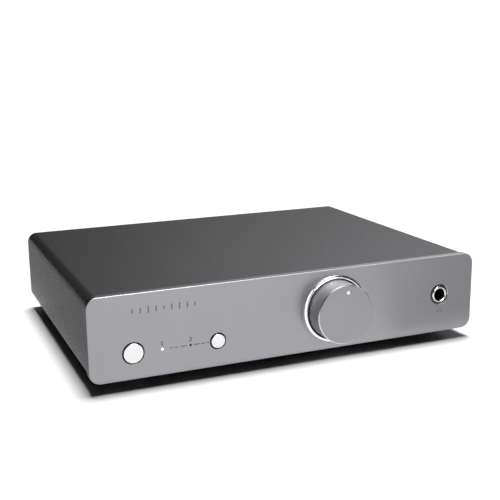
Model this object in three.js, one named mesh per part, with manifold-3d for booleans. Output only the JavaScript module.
// Compact desktop record-player preamplifier with a built-in headphone amplifier.
//
// Millimetres, +Z up. The front faces -Y and +X is to the right of a person facing it.
// The origin is at the middle of the object's box, on the surface that the feet stand on.

import * as THREE from "three";
import { mergeVertices } from "three/addons/utils/BufferGeometryUtils.js";
import Module from "manifold-3d";

const wasm = await Module();
wasm.setup();

// ---------------------------------------------------------------- driving dimensions

const WIDTH = 215;
const CASE_HEIGHT = 42.5;
const CASE_DEPTH = 159;
const FOOT_HEIGHT = 5.5;
const KNOB_REACH = 11.6; // how far the volume knob stands out of the front panel
const REAR_REACH = 11.6; // how far the ground post stands out behind the case

const PANEL_THICKNESS = 4;
const PANEL_CORNER = 6.3;
const PANEL_CHAMFER = 0.8;
const SLEEVE_INSET = 0.5; // the sleeve's outline lies this far inside the front panel's
const SLEEVE_CORNER = 6;
const SLEEVE_WALL = 1.6;
const REAR_PANEL_THICKNESS = 1.5;
const REAR_RECESS = 1; // the rear panel lies this far inside the sleeve's end

const SEAT = 0.05; // between two flat faces that rest on each other
const GAP = 0.3; // between a piece and the hole or neighbour cut round it

const KNOB_RADIUS = 15.5;
const BEZEL_OUTER = 18.05;
const BEZEL_INNER = 16.3;
const BEZEL_REACH = 1.2;
const KNOB_POCKET = 1.6; // depth of the round pocket that the knob's back edge turns in
const POINTER_RADIUS = 1;
const POINTER_ORBIT = 11.5;
const POINTER_TURN = 6.3; // degrees clockwise from straight up

const BUTTON_TRAVEL = 1.2;
const BUTTON_REACH = 0.4;
const JACK_BORE = 3.25;
const SOCKET_PITCH = 14;

// places on the front panel, seen from the front
const VOLUME_X = 22.35;
const JACK_X = 86.4;
const POWER_X = -85.7;
const SELECT_X = -42.7;
const CONTROL_PITCH = (SELECT_X - POWER_X) / 3;
const CONTROL_RISE = 13.1; // above the panel's lower edge

// places on the rear panel
const INLET_X = -84;
const AUTO_OFF_X = -58;
const OUTPUT_X = -27;
const BALANCE_X = 6;
const COIL_X = 36;
const GROUND_X = 60;
const MAGNET_X = 82;

// ---------------------------------------------------------------- places worked out from them

const FRONT = KNOB_REACH - (KNOB_REACH + CASE_DEPTH + REAR_REACH) / 2;
const BACK = FRONT + CASE_DEPTH;
const PANEL_BACK = FRONT + PANEL_THICKNESS;
const POCKET_FLOOR = FRONT + KNOB_POCKET;
const REAR_FACE = BACK - REAR_RECESS;
const REAR_INSIDE = REAR_FACE - REAR_PANEL_THICKNESS;
const CASE_BOTTOM = FOOT_HEIGHT;
const CASE_TOP = CASE_BOTTOM + CASE_HEIGHT;
const MIDDLE_Z = CASE_BOTTOM + CASE_HEIGHT / 2;
const CONTROL_Z = CASE_BOTTOM + CONTROL_RISE;
const SLEEVE_BOTTOM = CASE_BOTTOM + SLEEVE_INSET;
const SLEEVE_FLOOR = SLEEVE_BOTTOM + SLEEVE_WALL;
const SLEEVE_WIDTH = WIDTH - 2 * SLEEVE_INSET;
const SLEEVE_HEIGHT = CASE_HEIGHT - 2 * SLEEVE_INSET;
const INSIDE_WIDTH = SLEEVE_WIDTH - 2 * SLEEVE_WALL;
const INSIDE_HEIGHT = SLEEVE_HEIGHT - 2 * SLEEVE_WALL;
const TRAY_BOTTOM = SLEEVE_FLOOR + GAP;
const TRAY_THICKNESS = 1.2;
const TRAY_TOP = TRAY_BOTTOM + TRAY_THICKNESS;
const STANDOFF_HEIGHT = 5;
const BOARD_THICKNESS = 1.6;
const BOARD_BOTTOM = TRAY_TOP + STANDOFF_HEIGHT + SEAT;
const BOARD_TOP = BOARD_BOTTOM + BOARD_THICKNESS;
const CONTROL_BOARD_Y = FRONT + 16;

const FOOT_X = 86;
const FOOT_FRONT_Y = FRONT + 21;
const FOOT_REAR_Y = BACK - 19;
const TAB_X = 98.5;
const REAR_SCREW_LOW = CASE_BOTTOM + 8;
const REAR_SCREW_HIGH = CASE_TOP - 8;

// sides on a round piece, by its size
const TINY = 10;
const ROUND = 18;
const BROAD = 26;
const WIDE = 48;

// ---------------------------------------------------------------- shape helpers

// A closed three.js geometry as a manifold solid whose faces point out.
function solid(geometry) {
  const bare = geometry.clone();
  bare.deleteAttribute("normal");
  bare.deleteAttribute("uv");
  const merged = mergeVertices(bare, 1e-4);
  const corners = merged.index.array;
  const vertProperties = new Float32Array(merged.attributes.position.array);
  const kept = [];
  for (let i = 0; i < corners.length; i += 3) {
    const [a, b, c] = [corners[i], corners[i + 1], corners[i + 2]];
    if (a !== b && b !== c && c !== a) kept.push(a, b, c);
  }
  if (signedVolume(vertProperties, kept) < 0) kept.reverse();
  const triVerts = new Uint32Array(kept);
  return new wasm.Manifold(new wasm.Mesh({ numProp: 3, vertProperties, triVerts }));
}

function signedVolume(points, corners) {
  const [a, b, c] = [new THREE.Vector3(), new THREE.Vector3(), new THREE.Vector3()];
  let sum = 0;
  for (let i = 0; i < corners.length; i += 3) {
    a.fromArray(points, 3 * corners[i]);
    b.fromArray(points, 3 * corners[i + 1]);
    c.fromArray(points, 3 * corners[i + 2]);
    sum += a.dot(b.cross(c));
  }
  return sum / 6;
}

// A box by its middle in X and Z, its width and height, and its two ends in Y.
function block(x, z, width, height, y0, y1) {
  const geometry = new THREE.BoxGeometry(width, y1 - y0, height);
  return solid(geometry.translate(x, (y0 + y1) / 2, z));
}

// A piece turned about an axis along Y. The profile is a list of [radius, y].
function turned(profile, x, z, sides = ROUND) {
  const points = profile.map(([radius, y]) => new THREE.Vector2(radius, y));
  return solid(new THREE.LatheGeometry(points, sides).translate(x, 0, z));
}

// A piece turned about an upright axis. The profile is a list of [radius, z].
function upright(profile, x, y, sides = ROUND) {
  const points = profile.map(([radius, z]) => new THREE.Vector2(radius, z));
  const geometry = new THREE.LatheGeometry(points, sides).rotateX(Math.PI / 2);
  return solid(geometry.translate(x, y, 0));
}

// A plain round bar along Y.
function bar(radius, x, z, y0, y1, sides = ROUND) {
  return turned([[0, y0], [radius, y0], [radius, y1], [0, y1]], x, z, sides);
}

// A ring along Y, its profile closed on itself.
function ring(inner, outer, x, z, y0, y1, sides = ROUND) {
  return turned([[inner, y0], [outer, y0], [outer, y1], [inner, y1], [inner, y0]], x, z, sides);
}

function roundedOutline(width, height, radius) {
  const [w, h] = [width / 2, height / 2];
  const shape = new THREE.Shape();
  shape.moveTo(-w + radius, -h);
  shape.lineTo(w - radius, -h);
  shape.absarc(w - radius, -h + radius, radius, -Math.PI / 2, 0, false);
  shape.lineTo(w, h - radius);
  shape.absarc(w - radius, h - radius, radius, 0, Math.PI / 2, false);
  shape.lineTo(-w + radius, h);
  shape.absarc(-w + radius, h - radius, radius, Math.PI / 2, Math.PI, false);
  shape.lineTo(-w, -h + radius);
  shape.absarc(-w + radius, -h + radius, radius, Math.PI, 1.5 * Math.PI, false);
  return shape;
}

// An outline drawn in X and Z, pushed along Y from y0 to y1.
function slab(outline, x, z, y0, y1, curveSegments = 8) {
  const options = { depth: y1 - y0, bevelEnabled: false, curveSegments };
  const geometry = new THREE.ExtrudeGeometry(outline, options).rotateX(Math.PI / 2);
  return solid(geometry.translate(x, y1, z));
}

function cut(body, ...tools) {
  return tools.reduce((left, tool) => left.subtract(tool), body);
}

function join(...bodies) {
  return bodies.reduce((left, body) => left.add(body));
}

// ---------------------------------------------------------------- materials

function material(color, roughness, metalness) {
  return new THREE.MeshStandardMaterial({ color, roughness, metalness });
}

const ANODISED_SILVER = [0xa9a8ad, 0.4, 1];
const DARK_PAINT = [0x55555a, 0.5, 0.6];
const BRIGHT_METAL = [0xe6e6ea, 0.12, 1];
const STEEL = [0x9a9a9c, 0.35, 1];
const ZINC = [0x8d9096, 0.45, 1];
const BLACK_PLASTIC = [0x141416, 0.45, 0];
const BLACK_RUBBER = [0x18181a, 0.85, 0];
const CLEAR_PLASTIC = [0xf4f6ff, 0.2, 0];
const WHITE_PAINT = [0xf4f4f4, 0.5, 0];
const BOARD_GREEN = [0x1f4d2e, 0.5, 0];
const COPPER_YELLOW = [0xc9a227, 0.5, 0];
const CAN_BLUE = [0x1d2b45, 0.4, 0.2];
const GOLD = [0xd4af5a, 0.25, 1];
const CABLE_GREY = [0x8c8f94, 0.6, 0];
const RELAY_WHITE = [0xd8d8d4, 0.5, 0];

const group = new THREE.Group();

function place(name, body, finish) {
  const { vertProperties, triVerts } = body.getMesh();
  const geometry = new THREE.BufferGeometry();
  geometry.setAttribute("position", new THREE.BufferAttribute(vertProperties, 3));
  geometry.setIndex(new THREE.BufferAttribute(triVerts, 1));
  geometry.computeVertexNormals();
  const mesh = new THREE.Mesh(geometry, material(...finish));
  mesh.name = name;
  group.add(mesh);
}

// ---------------------------------------------------------------- enclosure

function frontPanel() {
  // The chamfer goes round both ends of the extrusion, and the rear one is cut away.
  const outline = roundedOutline(WIDTH, CASE_HEIGHT, PANEL_CORNER);
  const geometry = new THREE.ExtrudeGeometry(outline, {
    depth: PANEL_THICKNESS,
    bevelThickness: PANEL_CHAMFER,
    bevelSize: PANEL_CHAMFER,
    bevelOffset: -PANEL_CHAMFER,
    bevelSegments: 1,
    curveSegments: 8,
  });
  geometry.rotateX(Math.PI / 2);
  geometry.translate(0, PANEL_BACK + PANEL_CHAMFER, MIDDLE_Z);
  const rear = block(0, MIDDLE_Z, 2 * WIDTH, 2 * CASE_HEIGHT, PANEL_BACK, PANEL_BACK + 10);
  const through = (radius, x, z) => bar(radius, x, z, FRONT - 5, PANEL_BACK + 5, BROAD);
  return cut(
    solid(geometry),
    rear,
    through(POWER_HOLE, POWER_X, CONTROL_Z),
    through(SELECT_HOLE, SELECT_X, CONTROL_Z),
    through(LIGHT_HOLE, POWER_X + CONTROL_PITCH, CONTROL_Z),
    through(LIGHT_HOLE, SELECT_X - CONTROL_PITCH, CONTROL_Z),
    through(BUSH_RADIUS + GAP, VOLUME_X, MIDDLE_Z),
    through(JACK_NOSE + GAP / 2, JACK_X, MIDDLE_Z),
    bar(BEZEL_INNER, VOLUME_X, MIDDLE_Z, FRONT - 5, POCKET_FLOOR, WIDE),
  );
}

function caseSleeve() {
  const outside = roundedOutline(SLEEVE_WIDTH, SLEEVE_HEIGHT, SLEEVE_CORNER);
  outside.holes.push(roundedOutline(INSIDE_WIDTH, INSIDE_HEIGHT, SLEEVE_CORNER - SLEEVE_WALL));
  const tube = slab(outside, 0, MIDDLE_Z, PANEL_BACK + SEAT, BACK, 6);
  return cut(tube, ...footPlaces().map(([, x, y]) => screwHole(x, y)));
}

function rearPanel() {
  const clear = 2 * GAP;
  const corner = SLEEVE_CORNER - SLEEVE_WALL - GAP;
  const outline = roundedOutline(INSIDE_WIDTH - clear, INSIDE_HEIGHT - clear, corner);
  const plate = slab(outline, 0, MIDDLE_Z, REAR_INSIDE, REAR_FACE, 4);
  const through = (radius, x, z) => bar(radius, x, z, REAR_INSIDE - 5, REAR_FACE + 5);
  const sockets = socketPlaces().map(([, x]) => through(BARREL_RADIUS + GAP, x, MIDDLE_Z));
  const screws = rearScrewPlaces().map(([, x, z]) => (
    bar(SCREW_SHANK + GAP, x, z, REAR_INSIDE - 5, REAR_FACE + 5, TINY)));
  return cut(
    plate,
    ...sockets,
    ...screws,
    through(BUSH_RADIUS + GAP, BALANCE_X, MIDDLE_Z),
    through(POST_RADIUS + GAP, GROUND_X, MIDDLE_Z),
    slab(roundedOutline(INLET_WIDTH + GAP, INLET_HEIGHT + GAP, 2),
      INLET_X, MIDDLE_Z, REAR_INSIDE - 5, REAR_FACE + 5, 3),
    block(AUTO_OFF_X, MIDDLE_Z, SLIDER_WIDTH + SLIDER_TRAVEL + 2 * GAP, SLIDER_HEIGHT + 2 * GAP,
      REAR_INSIDE - 5, REAR_FACE + 5),
  );
}

function chassisTray() {
  const front = PANEL_BACK + GAP;
  const rear = REAR_INSIDE - GAP;
  const floorWidth = 2 * 102;
  const tabWidth = 6;
  const tabTop = CASE_TOP - 4.5;
  const tabHeight = tabTop - TRAY_BOTTOM;
  const tabMiddle = (TRAY_BOTTOM + tabTop) / 2;
  let tray = block(0, TRAY_BOTTOM + TRAY_THICKNESS / 2, floorWidth, TRAY_THICKNESS, front, rear);
  for (const side of [-1, 1]) {
    const x = side * TAB_X;
    tray = join(
      tray,
      block(x, tabMiddle, tabWidth, tabHeight, front, front + TRAY_THICKNESS),
      block(x, tabMiddle, tabWidth, tabHeight, rear - TRAY_THICKNESS, rear),
    );
    for (const y of [FRONT + 28, 0, BACK - 14]) {
      tray = tray.add(upright([[0, TRAY_TOP - 0.5], [3, TRAY_TOP - 0.5],
        [3, TRAY_TOP + STANDOFF_HEIGHT], [0, TRAY_TOP + STANDOFF_HEIGHT]], side * 78, y, TINY));
    }
  }
  const rearHoles = rearScrewPlaces().map(([, x, z]) => (
    bar(SCREW_SHANK + GAP, x, z, 0, BACK, TINY)));
  const footHoles = footPlaces().map(([, x, y]) => screwHole(x, y));
  return cut(tray, ...rearHoles, ...footHoles);
}

// ---------------------------------------------------------------- feet and screws

const FOOT_RADIUS = 10;
const FOOT_RECESS = 3;
const SCREW_HEAD = 2.9;
const SCREW_SHANK = 1.5;

function footPlaces() {
  return [
    ["front_left", -FOOT_X, FOOT_FRONT_Y],
    ["front_right", FOOT_X, FOOT_FRONT_Y],
    ["rear_left", -FOOT_X, FOOT_REAR_Y],
    ["rear_right", FOOT_X, FOOT_REAR_Y],
  ];
}

function rearScrewPlaces() {
  return [
    ["upper_left", -TAB_X, REAR_SCREW_HIGH],
    ["upper_right", TAB_X, REAR_SCREW_HIGH],
    ["lower_left", -TAB_X, REAR_SCREW_LOW],
    ["lower_right", TAB_X, REAR_SCREW_LOW],
  ];
}

function screwHole(x, y) {
  const radius = SCREW_SHANK + GAP;
  return upright([[0, 0], [radius, 0], [radius, 20], [0, 20]], x, y, TINY);
}

function foot(x, y) {
  const top = SLEEVE_BOTTOM - SEAT;
  const hole = SCREW_SHANK + GAP;
  const recess = SCREW_HEAD + 2 * GAP;
  return upright([
    [recess, 0],
    [FOOT_RADIUS - 0.8, 0],
    [FOOT_RADIUS, 0.8],
    [FOOT_RADIUS, top],
    [hole, top],
    [hole, FOOT_RECESS],
    [recess, FOOT_RECESS],
    [recess, 0],
  ], x, y, 20);
}

function footScrew(x, y) {
  const under = FOOT_RECESS - SEAT;
  const head = under - 1.8;
  const tip = TRAY_TOP + 1.5;
  return upright([
    [0, head + 0.7],
    [1, head + 0.7],
    [1.3, head],
    [SCREW_HEAD - 0.5, head],
    [SCREW_HEAD, head + 0.6],
    [SCREW_HEAD, under],
    [SCREW_SHANK, under],
    [SCREW_SHANK, tip],
    [0, tip],
  ], x, y, TINY);
}

function rearScrew(x, z) {
  const under = REAR_FACE + SEAT;
  const head = under + 1.6;
  const tip = REAR_INSIDE - 6;
  return turned([
    [0, tip],
    [SCREW_SHANK, tip],
    [SCREW_SHANK, under],
    [SCREW_HEAD, under],
    [SCREW_HEAD, head - 0.6],
    [SCREW_HEAD - 0.5, head],
    [1.3, head],
    [1, head - 0.7],
    [0, head - 0.7],
  ], x, z, TINY);
}

// ---------------------------------------------------------------- volume control

const SHAFT_RADIUS = 3;
const BUSH_RADIUS = 4.5;
const KNOB_BACK = FRONT + 0.8;
const KNOB_HOLLOW = FRONT - 4.6;
const KNOB_FACE = FRONT - KNOB_REACH;
const NUT_CORNER = 6.9;

function pointerPlace() {
  const turn = THREE.MathUtils.degToRad(POINTER_TURN);
  return [VOLUME_X + POINTER_ORBIT * Math.sin(turn), MIDDLE_Z + POINTER_ORBIT * Math.cos(turn)];
}

function volumeKnob() {
  const [x, z] = pointerPlace();
  const body = turned([
    [0, KNOB_FACE],
    [KNOB_RADIUS - 0.5, KNOB_FACE],
    [KNOB_RADIUS, KNOB_FACE + 0.5],
    [KNOB_RADIUS, KNOB_BACK],
    [8, KNOB_BACK],
    [8, KNOB_HOLLOW],
    [SHAFT_RADIUS + GAP, KNOB_HOLLOW],
    [SHAFT_RADIUS + GAP, KNOB_FACE + 2],
    [0, KNOB_FACE + 2],
  ], VOLUME_X, MIDDLE_Z, WIDE);
  return cut(body, bar(POINTER_RADIUS + 0.15, x, z, KNOB_FACE - 1, KNOB_FACE + 0.9, TINY));
}

function volumePointer() {
  const [x, z] = pointerPlace();
  return bar(POINTER_RADIUS, x, z, KNOB_FACE, KNOB_FACE + 0.6, TINY);
}

function volumeBezel() {
  const foot = FRONT - SEAT;
  return turned([
    [BEZEL_INNER, foot],
    [BEZEL_INNER, FRONT - BEZEL_REACH + 0.1],
    [BEZEL_INNER + 0.3, FRONT - BEZEL_REACH],
    [BEZEL_OUTER - 0.65, FRONT - 0.85],
    [BEZEL_OUTER - 0.15, FRONT - 0.4],
    [BEZEL_OUTER, foot],
    [BEZEL_INNER, foot],
  ], VOLUME_X, MIDDLE_Z, WIDE);
}

function volumePot() {
  const bush = bar(BUSH_RADIUS, VOLUME_X, MIDDLE_Z, FRONT - 3.2, FRONT + 9.5);
  const can = block(VOLUME_X, MIDDLE_Z, 17, 17, FRONT + 9, CONTROL_BOARD_Y - GAP);
  const bore = bar(SHAFT_RADIUS + GAP, VOLUME_X, MIDDLE_Z, FRONT - 5, FRONT + 14);
  return cut(join(bush, can), bore);
}

function volumeNut() {
  const front = POCKET_FLOOR - SEAT;
  const hexagon = bar(NUT_CORNER, VOLUME_X, MIDDLE_Z, front - 2.4, front, 6);
  return cut(hexagon, bar(BUSH_RADIUS + GAP, VOLUME_X, MIDDLE_Z, FRONT - 5, FRONT + 5));
}

// ---------------------------------------------------------------- buttons and lights

const POWER_RADIUS = 4.85;
const POWER_HOLE = 5.45;
const SELECT_RADIUS = 3.55;
const SELECT_HOLE = 4.2;
const LIGHT_RADIUS = 0.65;
const LIGHT_HOLE = 0.8;
const COLLAR_FRONT = PANEL_BACK + GAP;
const STEM_END = FRONT + 9;

function button(radius, hole, x) {
  const face = FRONT - BUTTON_REACH;
  return turned([
    [0, face + 0.25],
    [0.6 * radius, face + 0.12],
    [radius - 0.35, face],
    [radius, face + 0.35],
    [radius, COLLAR_FRONT],
    [hole + 1, COLLAR_FRONT],
    [hole + 1, COLLAR_FRONT + 1.5],
    [1.8, COLLAR_FRONT + 1.5],
    [1.8, STEM_END],
    [0, STEM_END],
  ], x, CONTROL_Z, BROAD);
}

function buttonSwitch(side, x) {
  const front = STEM_END + BUTTON_TRAVEL + GAP;
  return block(x, CONTROL_Z, side, side, front, CONTROL_BOARD_Y - GAP);
}

function lightPipe(x) {
  return turned([
    [0, FRONT - 0.05],
    [LIGHT_RADIUS, FRONT - 0.05],
    [LIGHT_RADIUS, COLLAR_FRONT],
    [1.6, COLLAR_FRONT],
    [1.6, CONTROL_BOARD_Y - GAP],
    [0, CONTROL_BOARD_Y - GAP],
  ], x, CONTROL_Z, TINY);
}

// ---------------------------------------------------------------- headphone jack

const JACK_NOSE = 5.3;
const JACK_RING = 4.5;
const JACK_DEPTH = 34;

function headphoneJack() {
  const nose = bar(JACK_NOSE, JACK_X, MIDDLE_Z, FRONT, PANEL_BACK + 1, BROAD);
  const housing = block(JACK_X, MIDDLE_Z, 16, 14, PANEL_BACK + GAP, FRONT + JACK_DEPTH);
  const bore = bar(JACK_BORE, JACK_X, MIDDLE_Z, FRONT - 2, FRONT + JACK_DEPTH - 2, BROAD);
  const seat = bar(JACK_RING + 0.1, JACK_X, MIDDLE_Z, FRONT - 2, FRONT + 1.1, BROAD);
  return cut(join(nose, housing), bore, seat);
}

function headphoneJackRing() {
  const [x, z] = [JACK_X, MIDDLE_Z];
  return turned([
    [JACK_BORE, FRONT + 1],
    [JACK_BORE, FRONT - 0.3],
    [JACK_BORE + 0.4, FRONT - 0.6],
    [JACK_RING - 0.3, FRONT - 0.6],
    [JACK_RING, FRONT - 0.3],
    [JACK_RING, FRONT + 1],
    [JACK_BORE, FRONT + 1],
  ], x, z, BROAD);
}

// ---------------------------------------------------------------- boards and what they carry

function mainBoard() {
  const front = FRONT + 20;
  return block(0, (BOARD_BOTTOM + BOARD_TOP) / 2, 178, BOARD_THICKNESS, front, REAR_INSIDE - 4);
}

function controlBoard() {
  const [left, right] = [-96, 46];
  const [bottom, top] = [TRAY_TOP + 1, MIDDLE_Z + 9.5];
  const board = block((left + right) / 2, (bottom + top) / 2, right - left, top - bottom,
    CONTROL_BOARD_Y, CONTROL_BOARD_Y + BOARD_THICKNESS);
  return cut(board, bar(SHAFT_RADIUS + 1, VOLUME_X, MIDDLE_Z, FRONT, FRONT + 30));
}

// A flat cable that drops from the back of the control board and lands on the main board.
function ribbonCable() {
  const y0 = CONTROL_BOARD_Y + BOARD_THICKNESS + GAP;
  const z0 = BOARD_TOP + 12;
  const z1 = BOARD_TOP + GAP;
  const reach = 9;
  const thickness = 0.9;
  const bend = reach - thickness;
  const outline = new THREE.Shape();
  outline.moveTo(0, z0);
  outline.absarc(0, z0 - reach, reach, Math.PI / 2, 0, true);
  outline.lineTo(reach, z1);
  outline.lineTo(bend, z1);
  outline.lineTo(bend, z0 - reach);
  outline.absarc(0, z0 - reach, bend, 0, Math.PI / 2, false);
  outline.closePath();
  const width = 22;
  const geometry = new THREE.ExtrudeGeometry(outline, {
    depth: width, bevelEnabled: false, curveSegments: 8,
  });
  geometry.applyMatrix4(new THREE.Matrix4().set(0, 0, 1, 0, 1, 0, 0, 0, 0, 1, 0, 0, 0, 0, 0, 1));
  return solid(geometry.translate(-30, y0, 0));
}

function supplyTransformer() {
  const [x, y] = [-66, 34];
  const z = BOARD_TOP + GAP;
  const core = block(x, z + 9, 26, 18, y - 10, y + 10);
  const winding = block(x, z + 9, 16, 14, y - 14, y + 14);
  return join(core, winding);
}

function can(radius, height, x, y) {
  const z = BOARD_TOP + GAP;
  return upright([
    [0, z],
    [radius, z],
    [radius, z + height - 0.5],
    [radius - 0.5, z + height],
    [0, z + height],
  ], x, y);
}

function outputRelay() {
  const z = BOARD_TOP + GAP;
  return block(-8, z + 7, 20, 14, 36, 48);
}

function heatSink() {
  const z = BOARD_TOP + GAP;
  const height = 17;
  const [x, y] = [-40, -14];
  const back = block(x, z + height / 2, 30, height, y, y + 2);
  const fins = [];
  for (let i = 0; i < 6; i += 1) {
    fins.push(block(x - 14 + 5.6 * i, z + height / 2, 1.4, height, y - 9, y + 0.5));
  }
  return join(back, ...fins);
}

function phonoShield() {
  const z = BOARD_TOP + GAP;
  const [x, y] = [52, 28];
  const outside = block(x, z + 7, 56, 14, y - 18, y + 18);
  const inside = block(x, z + 6, 54.8, 13.6, y - 17.4, y + 17.4);
  return cut(outside, inside);
}

// ---------------------------------------------------------------- rear sockets and controls

const BARREL_RADIUS = 4.15;
const BARREL_BORE = 3.4;
const BARREL_REACH = 9.5;
const POST_RADIUS = 2;
const INLET_WIDTH = 22;
const INLET_HEIGHT = 13;
const PIN_X = 4.3;
const PIN_RADIUS = 1.18;
const SLIDER_WIDTH = 3.4;
const SLIDER_HEIGHT = 3;
const SLIDER_TRAVEL = 2.5;

// Left and right are those of a person facing the front.
function socketPlaces() {
  const places = [];
  for (const [name, x] of [["line_output", OUTPUT_X], ["coil_input", COIL_X], ["magnet_input", MAGNET_X]]) {
    places.push([`${name}_socket_a`, x - SOCKET_PITCH / 2]);
    places.push([`${name}_socket_b`, x + SOCKET_PITCH / 2]);
  }
  return places;
}

// The plastic block behind a pair of sockets, with a round insulator that fills each barrel.
function socketBlock(x) {
  const back = REAR_INSIDE - 0.9 - GAP;
  const housing = block(x, MIDDLE_Z - 1, 2 * SOCKET_PITCH - 2, 16, back - 11, back);
  const places = [x - SOCKET_PITCH / 2, x + SOCKET_PITCH / 2];
  const insulators = places.map((place) => (
    bar(BARREL_BORE - 0.2, place, MIDDLE_Z, back - 1, REAR_FACE + BARREL_REACH - 2)));
  const contacts = places.map((place) => (
    bar(1.7, place, MIDDLE_Z, back - 8, REAR_FACE + BARREL_REACH, TINY)));
  return cut(join(housing, ...insulators), ...contacts);
}

function socketBarrel(x) {
  const inside = REAR_INSIDE - 0.9;
  const end = REAR_FACE + BARREL_REACH;
  return turned([
    [BARREL_BORE, inside],
    [BARREL_RADIUS, inside],
    [BARREL_RADIUS, end - 0.3],
    [BARREL_RADIUS - 0.3, end],
    [BARREL_BORE, end],
    [BARREL_BORE, inside],
  ], x, MIDDLE_Z);
}

function mainsInlet() {
  const face = REAR_FACE + 0.6;
  const flange = slab(roundedOutline(INLET_WIDTH + 4, INLET_HEIGHT + 4, 3),
    INLET_X, MIDDLE_Z, REAR_FACE + SEAT, face, 4);
  const housing = slab(roundedOutline(INLET_WIDTH, INLET_HEIGHT, 1.8),
    INLET_X, MIDDLE_Z, REAR_INSIDE - 16, face - 0.2, 3);
  const cavity = slab(roundedOutline(2 * PIN_X + 8.4, 8.4, 4.19),
    INLET_X, MIDDLE_Z, face - 13, face + 2, 6);
  const holes = [-PIN_X, PIN_X].map((x) => (
    bar(PIN_RADIUS + GAP, INLET_X + x, MIDDLE_Z, REAR_INSIDE - 20, face, TINY)));
  return cut(join(flange, housing), cavity, ...holes);
}

function inletPin(x) {
  const end = REAR_FACE - 2;
  return turned([
    [0, REAR_INSIDE - 18],
    [PIN_RADIUS, REAR_INSIDE - 18],
    [PIN_RADIUS, end - 0.8],
    [PIN_RADIUS - 0.6, end],
    [0, end],
  ], INLET_X + x, MIDDLE_Z, TINY);
}

function autoOffSwitch() {
  const face = REAR_INSIDE - GAP;
  const body = block(AUTO_OFF_X, MIDDLE_Z, 14, 8, face - 7, face);
  const track = block(AUTO_OFF_X, MIDDLE_Z, 2 * SLIDER_WIDTH + SLIDER_TRAVEL, 5, face - 4, face + 1);
  return cut(body, track);
}

// The slider rests at the end of its track that lies towards -X.
function autoOffSlider() {
  const x = AUTO_OFF_X - SLIDER_TRAVEL / 2;
  const inside = REAR_INSIDE - 2 * GAP;
  const shoe = block(x, MIDDLE_Z, SLIDER_WIDTH + 2, 4.2, inside - 3, inside);
  const nib = block(x, MIDDLE_Z, SLIDER_WIDTH, SLIDER_HEIGHT, inside - 1, REAR_FACE + 1.6);
  return join(shoe, nib);
}

function balanceKnob() {
  const front = REAR_FACE + 0.5;
  const end = front + 9;
  const body = turned([
    [SHAFT_RADIUS + GAP, front],
    [6, front],
    [6, front + 1.2],
    [5.2, end - 0.6],
    [4.6, end],
    [0, end],
    [0, end - 1.5],
    [SHAFT_RADIUS + GAP, end - 1.5],
    [SHAFT_RADIUS + GAP, front],
  ], BALANCE_X, MIDDLE_Z, BROAD);
  const slot = block(BALANCE_X, MIDDLE_Z + 3, 0.8, 4.4, end - 0.5, end + 1);
  return cut(body, slot);
}

function balancePot() {
  const bush = bar(BUSH_RADIUS, BALANCE_X, MIDDLE_Z, REAR_INSIDE - 8, REAR_FACE + 0.2);
  const housing = block(BALANCE_X, MIDDLE_Z, 12, 13, REAR_INSIDE - 8, REAR_INSIDE - GAP);
  const bore = bar(SHAFT_RADIUS + GAP, BALANCE_X, MIDDLE_Z, REAR_INSIDE - 6, REAR_FACE + 2);
  return cut(join(bush, housing), bore);
}

const POST_FLANGE = REAR_FACE + 1.6;
const WASHER_THICKNESS = 0.8;
const NUT_LENGTH = 5.5;

function groundPost() {
  const end = BACK + REAR_REACH;
  return turned([
    [0, REAR_INSIDE - 9],
    [POST_RADIUS, REAR_INSIDE - 9],
    [POST_RADIUS, REAR_FACE + SEAT],
    [5, REAR_FACE + SEAT],
    [5, POST_FLANGE],
    [POST_RADIUS, POST_FLANGE],
    [POST_RADIUS, end - 0.4],
    [POST_RADIUS - 0.4, end],
    [0, end],
  ], GROUND_X, MIDDLE_Z);
}

function groundWasher() {
  const front = POST_FLANGE + SEAT;
  return ring(POST_RADIUS + GAP, 4.8, GROUND_X, MIDDLE_Z, front, front + WASHER_THICKNESS);
}

function groundNut() {
  const front = POST_FLANGE + WASHER_THICKNESS + 2 * SEAT;
  const end = front + NUT_LENGTH;
  return turned([
    [POST_RADIUS + GAP, front],
    [4.4, front],
    [5, front + 0.6],
    [5, end - 0.6],
    [4.4, end],
    [POST_RADIUS + GAP, end],
    [POST_RADIUS + GAP, front],
  ], GROUND_X, MIDDLE_Z);
}

// ---------------------------------------------------------------- assembly

place("front_panel", frontPanel(), ANODISED_SILVER);
place("case_sleeve", caseSleeve(), DARK_PAINT);
place("rear_panel", rearPanel(), DARK_PAINT);
place("chassis_tray", chassisTray(), ZINC);

for (const [corner, x, y] of footPlaces()) {
  place(`foot_${corner}`, foot(x, y), BLACK_RUBBER);
  place(`foot_screw_${corner}`, footScrew(x, y), STEEL);
}
for (const [corner, x, z] of rearScrewPlaces()) {
  place(`rear_screw_${corner}`, rearScrew(x, z), STEEL);
}

place("volume_knob", volumeKnob(), ANODISED_SILVER);
place("volume_pointer", volumePointer(), WHITE_PAINT);
place("volume_shaft",
  bar(SHAFT_RADIUS, VOLUME_X, MIDDLE_Z, KNOB_FACE + 2 + GAP, FRONT + 13), STEEL);
place("volume_bezel", volumeBezel(), BRIGHT_METAL);
place("volume_pot", volumePot(), ZINC);
place("volume_pot_nut", volumeNut(), STEEL);

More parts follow.
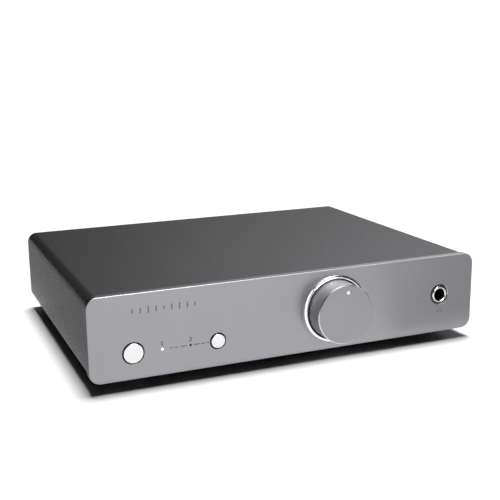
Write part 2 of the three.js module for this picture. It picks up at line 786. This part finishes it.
place("power_button", button(POWER_RADIUS, POWER_HOLE, POWER_X), BRIGHT_METAL);
place("power_switch", buttonSwitch(12, POWER_X), BLACK_PLASTIC);
place("select_button", button(SELECT_RADIUS, SELECT_HOLE, SELECT_X), BRIGHT_METAL);
place("select_switch", buttonSwitch(9, SELECT_X), BLACK_PLASTIC);
place("input_light_1", lightPipe(POWER_X + CONTROL_PITCH), CLEAR_PLASTIC);
place("input_light_2", lightPipe(SELECT_X - CONTROL_PITCH), CLEAR_PLASTIC);
place("headphone_jack", headphoneJack(), BLACK_PLASTIC);
place("headphone_jack_ring", headphoneJackRing(), BRIGHT_METAL);

place("control_board", controlBoard(), BOARD_GREEN);
place("main_board", mainBoard(), BOARD_GREEN);
place("ribbon_cable", ribbonCable(), CABLE_GREY);
place("supply_transformer", supplyTransformer(), COPPER_YELLOW);
place("bulk_capacitor", can(8, 18, -66, 2), CAN_BLUE);
place("filter_capacitor_left", can(5, 14, -8, -20), CAN_BLUE);
place("filter_capacitor_right", can(5, 14, 8, -20), CAN_BLUE);
place("output_relay", outputRelay(), RELAY_WHITE);
place("heat_sink", heatSink(), ZINC);
place("phono_shield", phonoShield(), STEEL);

place("mains_inlet", mainsInlet(), BLACK_PLASTIC);
place("inlet_pin_left", inletPin(-PIN_X), STEEL);
place("inlet_pin_right", inletPin(PIN_X), STEEL);
place("auto_off_switch", autoOffSwitch(), BLACK_PLASTIC);
place("auto_off_slider", autoOffSlider(), BLACK_PLASTIC);
place("balance_knob", balanceKnob(), BLACK_PLASTIC);
place("balance_shaft",
  bar(SHAFT_RADIUS, BALANCE_X, MIDDLE_Z, REAR_INSIDE - 5, REAR_FACE + 7.5), STEEL);
place("balance_pot", balancePot(), ZINC);
place("ground_post", groundPost(), GOLD);
place("ground_washer", groundWasher(), GOLD);
place("ground_nut", groundNut(), GOLD);

place("line_output_block", socketBlock(OUTPUT_X), BLACK_PLASTIC);
place("coil_input_block", socketBlock(COIL_X), BLACK_PLASTIC);
place("magnet_input_block", socketBlock(MAGNET_X), BLACK_PLASTIC);
for (const [name, x] of socketPlaces()) {
  place(name, socketBarrel(x), GOLD);
}

export default group;
